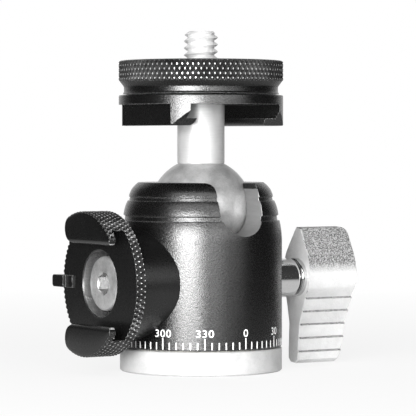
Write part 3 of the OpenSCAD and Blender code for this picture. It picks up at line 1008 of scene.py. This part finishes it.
shoe = {
    "floor": 21.5, "face": 25.3, "lip": 1.3, "lipEase": 1.0, "slotHalf": 9.7, "gapHalf": 7.2,
    "back": 18.6, "cone": 19.8, "backRadius": 10.2, "backEase": 0.2, "faceEase": 0.8,
    "spigot": 7.0, "spigotEnd": 16.75, "bore": 2.58,
    "headBore": 5.95, "headFloor": 18.15, "bare": 21.34, "mouth": 0.15,
    "knurl": {"round": 84, "flat": 0.24, "from": 19.8, "to": 27.0, "below": 6, "turn": 0.6},
    "past": 0.05, "reach": 15, "farEnd": 2.65, "nearEnd": 1.0, "endPast": 1.5, "rubbed": 0.35,
    "tabIn": 9.2, "tabHalf": 1.1, "tabDeep": 1.1,
}


def lipEnd(radius, corner, gap):
    # what rounding an upper lip's end takes off it; the lip runs along +X here
    centre = Vector((sqrt((radius - corner) ** 2 - (gap + corner) ** 2), gap + corner))
    outer = centre * shoe["endPast"]
    start = degrees(atan2(centre.y, centre.x))
    return [outer, *arc(centre, corner, start, -90, steps=12), *points(
        (centre.x, gap - over), (2 * radius, gap - over), (2 * radius, outer.y))]


def makeShoe():
    s = shoe
    radius = boxOf("side_shoe")[1].y
    above = s["face"] + over
    line = eased([
        (0, s["spigotEnd"]), (s["spigot"], s["spigotEnd"]), (s["spigot"], s["back"]),
        (s["backRadius"], s["back"], s["backEase"]),
        (radius + s["past"], s["cone"], s["backEase"]),
        (radius + s["past"], s["face"], s["faceEase"]), (0, s["face"])])
    piece = coat(lathe("side_shoe_knurled", line, sides=168), blackSmooth)
    # the shoe is drawn along +Z; X is up in it, and its slot runs along Y
    reach = s["reach"]
    alongY = Matrix.Translation((0, reach, s["face"])) @ upright
    alongY = alongY @ Matrix.Scale(-1, 4, (0, 1, 0))
    cut(piece, block("tab pocket", (-s["tabHalf"], s["tabIn"], s["floor"] - s["tabDeep"]),
                     (s["tabHalf"], reach, above)))
    cut(piece, prism("gap", lipGap(s["gapHalf"], s["face"] - s["floor"], s["lipEase"]),
                     0, 2 * reach, alongY))
    cut(piece, block("slot", (-s["slotHalf"], -reach, s["floor"]),
                     (s["slotHalf"], reach, s["face"] - s["lip"])))
    mouth = s["mouth"]
    bore = coat(lathe("head bore", [
        (0, s["headFloor"]), (s["headBore"], s["headFloor"]), (s["headBore"], s["bare"]),
        (s["headBore"], s["floor"] - mouth), (s["headBore"] + 2 * mouth, s["floor"] + mouth),
        (0, s["floor"] + mouth)], sides=96), blackSmooth, boreSilver)
    cut(piece, mark(bore, lambda face: s["headFloor"] < face.center.z < s["bare"]))
    cut(piece, rod("bolt bore", s["bore"], s["spigotEnd"] - over, s["floor"]))
    for along, corner in ((1, s["farEnd"]), (-1, s["nearEnd"])):
        for up in (1, -1):
            toPlace = Matrix(((0, up, 0, 0), (along, 0, 0, 0), (0, 0, 1, 0), (0, 0, 0, 1)))
            end = coat(prism("lip end", lipEnd(radius, corner, s["gapHalf"]),
                             s["floor"], above, toPlace), blackSmooth, bareCorner)
            if along < 0:  # the near corners are rubbed bare
                mark(end, lambda face: abs(face.center.x) < s["gapHalf"] + s["rubbed"])
            cut(piece, end)
    cut(piece, knurlShell("shoe_knurl", radius, s["knurl"], shoeCrestWearAndHighlight), "INTERSECT")
    piece.data.transform(towardsShoe)
    finish(piece, "shoe", ["side_shoe"], sharp=28)


screw = {"socket": 3.7, "socketDeep": 1.4, "socketEase": 0.25, "cone": 0.3, "seat": 18.2,
         "rim": 0.5, "gap": 0.08}


def makeShoeScrew():
    s = screw
    low, high = boxOf("shoe_screw")
    face, end = -low.x, -high.x
    head, bolt = high.y, shoe["bore"] - s["gap"]
    line = eased([(0, end), (bolt, end), (bolt, s["seat"]),
                  (head, s["seat"]), (head, face, s["rim"]), (0, face)])
    piece = coat(lathe("shoe_screw_socket", line, sides=96), screwSteel)
    corner = s["socket"] / 2 / cos(pi / 6)
    hexagon = [(corner * cos(a * pi / 3), corner * sin(a * pi / 3)) for a in range(6)]
    deep = face - s["socketDeep"]
    # the socket's inside gets the darker finish, a painted shade in the recess
    cut(piece, coat(prism("socket", hexagon, deep, face + over, Matrix()), socketShadeSteel))
    ease = s["socketEase"]
    cut(piece, coat(lathe("socket mouth", [
        (0, face - ease - s["cone"]), (corner - ease, face - ease),
        (corner + ease, face + ease), (0, face + ease)], sides=64), screwSteel))
    piece.data.transform(towardsShoe)
    finish(piece, "body", ["shoe_screw"])


makeShoe()
makeShoeScrew()
print("shoe made")


knob = {
    "turn": 4.0, "innerEdge": 0.2, "slant": (0.1, 0.9), "wingTop": 1.1, "wingSide": (3.5, 4.5),
    "belly": 4.45, "bellyBends": (2.2, 0.4, -1.2, -2),  # heights
    "top": 9.35, "foot": -16.15, "ease": 0.35, "footEase": 0.7,
    "arm": ((-16.4, 1.55), (-8.6, 1.75), (-3.0, 3.45), (-0.4, 4.45)),
    "grooves": 5, "grooveTop": -3.68, "groovePitch": 2.55, "grooveSize": 0.32,
    "corner": 1.4, "lean": 0.4, "drawnIn": 1.9, "screwBore": 2.7, "screwDeep": 1.2,
    "footBend": ((0.6, 2.4), (0.5, 5)),  # in from the outer face, and up from the foot
    "reach": 15,
}


def armHalf(height):  # half width of the knob's arm
    for (lowZ, lowHalf), (highZ, highHalf) in zip(knob["arm"], knob["arm"][1:]):
        if lowZ <= height <= highZ:
            return lowHalf + (highHalf - lowHalf) * (height - lowZ) / (highZ - lowZ)
    return knob["belly"]


def knobFace():
    # outline seen along the axis, right side from the top down, then the left side up
    k = knob
    belly, ease = k["belly"], k["ease"]
    side = points((k["wingTop"] - ease, k["top"]), (k["wingTop"], k["top"] - ease),
                  k["wingSide"])
    wide, top, narrow, arm = k["bellyBends"]
    side += bend(k["wingSide"], (belly, wide), (belly, top), steps=8)
    side += bend((belly, top), (belly, narrow), (armHalf(arm), arm), steps=6)
    for i in range(k["grooves"]):
        h, size = k["grooveTop"] - k["groovePitch"] * i, k["grooveSize"]
        side += points((armHalf(h) - size, h + size / 2), (armHalf(h) + size / 4, h - size / 2))
    half = armHalf(k["foot"])
    side += points((half, k["foot"] + k["footEase"]), (half - k["footEase"], k["foot"]))
    return side + mirrored(side)


def makeKnob():
    k = knob
    low, high = boxOf("lock_knob")
    inner, outer = low.x, high.x
    mesh = bmesh.new()
    rings = [[mesh.verts.new((x, p.x, p.y)) for p in knobFace()] for x in (inner, outer)]
    mesh.faces.new(rings[0])
    mesh.faces.new(rings[1][::-1])
    band(mesh, *rings)
    rim = [e for e in mesh.edges if all(abs(v.co.x - inner) < tiny for v in e.verts)]
    bmesh.ops.bevel(mesh, geom=rim, offset=k["innerEdge"], segments=1, affect="EDGES",
                    profile=0.5, clamp_overlap=True)
    piece = coat(asObject("lock_knob_blasted", mesh), knobSilver, cutEdge)
    # the bevel is the only part that slants
    mark(piece, lambda face: k["slant"][0] < abs(face.normal.x) < k["slant"][1])
    bore = rod("bore", k["screwBore"], outer - k["screwDeep"], outer + over, sides=48)
    bore.data.transform(Matrix.Rotation(pi / 2, 4, "Y"))
    cut(piece, coat(bore, knobSilver))
    topX, topZ = outer - k["lean"] - k["corner"], k["top"] - k["corner"]
    foot, toe = k["foot"], outer - k["drawnIn"]
    side = points((inner - over, k["top"] + over), (inner - over, foot - over),
                  (toe, foot - over), (toe, foot))
    side += bend(side[-1], *[(outer - deep, foot + rise) for deep, rise in k["footBend"]],
                 steps=8)
    side += points((outer, 0), (outer - k["lean"], topZ))
    side += arc((topX, topZ), k["corner"], 0, 90, steps=8)
    side += points((topX, k["top"] + over))
    cut(piece, coat(prism("side", side, -k["reach"], k["reach"], upright), knobSilver),
        "INTERSECT")
    piece.data.transform(toAxis @ Matrix.Rotation(radians(k["turn"]), 4, "X"))
    finish(piece, "knob", ["lock_knob"], sharp=28)


shank = {"pin": 1.25, "pinEnd": 2.6, "thread": 3.0, "radius": 3.65, "from": 13.4, "end": 20.0,
         "edge": 0.9, "stub": 2.5, "stubEnd": 29.4, "washerGap": 0.02, "washerEase": 0.45}


def makeShank():
    s = shank
    start = boxOf("lock_screw")[0].x
    line = eased([
        (0, start), (s["pin"], start), (s["pin"], s["pinEnd"]), (s["thread"], s["pinEnd"]),
        (s["thread"], s["from"]), (s["radius"], s["from"]), (s["radius"], s["end"], s["edge"]),
        (s["stub"], s["end"]), (s["stub"], s["stubEnd"]), (0, s["stubEnd"])], steps=8)
    piece = coat(lathe("lock_screw_polished", line, sides=128), chrome)
    piece.data.transform(towardsKnob)
    finish(piece, "knob", ["lock_screw"], sharp=40)
    low, high = boxOf("knob_washer")
    radius, bore = high.y, s["stub"] + s["washerGap"]
    line = eased([(bore, low.x), (radius, low.x, s["washerEase"]), (radius, high.x),
                  (bore, high.x)], steps=8)
    piece = coat(lathe("knob_washer_polished", line, sides=128, ring=True), ringSteel)
    piece.data.transform(towardsKnob)
    finish(piece, "knob", ["knob_washer"], sharp=40)


makeKnob()
makeShank()
print("knob made")


bushing = {
    "radius": 4.76, "mouth": (1.3, -0.7),  # from the thread's radius
    "thread": {"radius": 3.175, "depth": 0.66, "from": 0.0, "to": 7.8},
}


def makeBushing():
    low, high = boxOf("base_bushing")
    wide, narrow = (bushing["thread"]["radius"] + step for step in bushing["mouth"])
    piece = coat(rod("base_bushing_threaded", bushing["radius"], low.z, high.z, sides=96), brass)
    cut(piece, threadRod("bushing_thread", bushing["thread"], brass))
    cut(piece, lathe("mouth", [(0, low.z - over), (wide, low.z - over),
                               (narrow, low.z + over), (0, low.z + over)], sides=96))
    finish(coat(piece, brass), "base", ["base_bushing"], sharp=40)


makeBushing()
print("base made")


# the CAD nodes that are shown as they are, in new materials
kept = {
    baseSilver: ["base_plate"],
    blackSmooth: ["side_boss", "stop_tab"],
    brass: ["pan_ring", "thrust_plug"],
    springSteel: ["pan_clip", "cup_spring", "knob_screw"],
    nylon: ["pan_washer", "shoe_washer", "ball_cup"],
}
for material, names in kept.items():
    for name in names:
        slots = nodes[name].material_slots
        if not slots:
            nodes[name].data.materials.append(material)
        for slot in slots:
            slot.material = material
print("CAD nodes coated")


studio = {
    "floorRadius": 6000, "drop": 0.02,  # the floor lies this far under the base
    "floor": 0.64, "fleck": 2.0, "fleckDepth": 0.01, "floorGlow": 0.84, "near": 60, "far": 260,
    "tableStart": 60, "tableEnd": 160, "tableLevel": 0.6, "backdrop": (0.55, 0.97),
    "room": 0.25, "roomFront": 0.04,
    "lamps": (
        # name, place aside, ahead and up, size across and up, watts
        ("key", (-128, -390, 45), (250, 170), 5.0),
        ("high", (-50, -330, 290), (560, 120), 0.8),
        ("side", (130, -385, 60), (120, 180), 0.5),
        ("right", (280, -300, 130), (240, 200), 0.45),
        ("top", (60, 80, 420), (320, 320), 0.3),
    ),
    "aim": 28,
}


def makeFloor():
    s = studio
    mesh = bmesh.new()
    bmesh.ops.create_circle(mesh, cap_ends=True, radius=s["floorRadius"] * mm, segments=96)
    floor = asObject("floor", mesh)
    floor.location.z = -s["drop"] * mm
    f = Finish("floor")
    camera, glossy = f.rays()
    forth = f.vector("DOT_PRODUCT", f.place, tuple(ahead))
    away = f.vector("LENGTH", f.place)
    near = f.ramp(away, s["tableEnd"] * mm, s["tableStart"] * mm)
    behind = f.ramp(forth / away, *s["backdrop"])
    table = f.call("MAXIMUM", near, behind)
    far = f.ramp(away, s["near"] * mm, s["far"] * mm, s["floorGlow"])
    mask = camera * far + glossy * (1.0 - table * (1.0 - s["floorGlow"]))
    level = camera + glossy * (s["roomFront"] + table * (s["tableLevel"] - s["roomFront"]))
    fleck = f.noise(s["fleck"], detail=2)
    tone = f.blend(fleck, s["floor"] - s["fleckDepth"], s["floor"])
    paper = f.add("ShaderNodeBsdfDiffuse", None, {"Color": tone})
    glow = f.add("ShaderNodeEmission", None, {"Color": tint(1.0), "Strength": level})
    mixed = f.add("ShaderNodeMixShader", None, {0: mask, 1: paper, 2: glow})
    f.add("ShaderNodeOutputMaterial", None, {"Surface": mixed})
    coat(floor, f.material)


def makeRoom():
    s = studio
    world = bpy.data.worlds.new("room")
    bpy.context.scene.world = world
    world.use_nodes = True
    world.node_tree.nodes.clear()
    plan = Plan(world.node_tree)
    camera, glossy = plan.rays()
    towards = plan.add("ShaderNodeTexCoord", output="Generated")
    facing = plan.vector("DOT_PRODUCT", towards, tuple(ahead))
    behind = plan.ramp(facing, *s["backdrop"], s["roomFront"], kind="SMOOTHSTEP")
    level = s["room"] + glossy * (behind - s["room"])
    level = level + camera * (1.0 - level)
    glow = plan.add("ShaderNodeBackground", None, {"Color": tint(1.0), "Strength": level})
    plan.add("ShaderNodeOutputWorld", None, {"Surface": glow})


def makeLamps():
    target = Vector((0, 0, studio["aim"])) * mm
    for name, (right, forth, up), (wide, tall), watts in studio["lamps"]:
        data = bpy.data.lights.new(name, "AREA")
        data.shape = "RECTANGLE"
        data.size = wide * mm
        data.size_y = tall * mm
        data.energy = watts
        lamp = placed(name, data)
        lamp.location = (aside * right + ahead * forth + Vector((0, 0, up))) * mm
        lamp.rotation_mode = "QUATERNION"
        lamp.rotation_quaternion = (target - lamp.location).to_track_quat("-Z", "Y")


makeFloor()
makeRoom()
makeLamps()
bpy.context.scene.view_settings.view_transform = "Standard"
print("studio made")
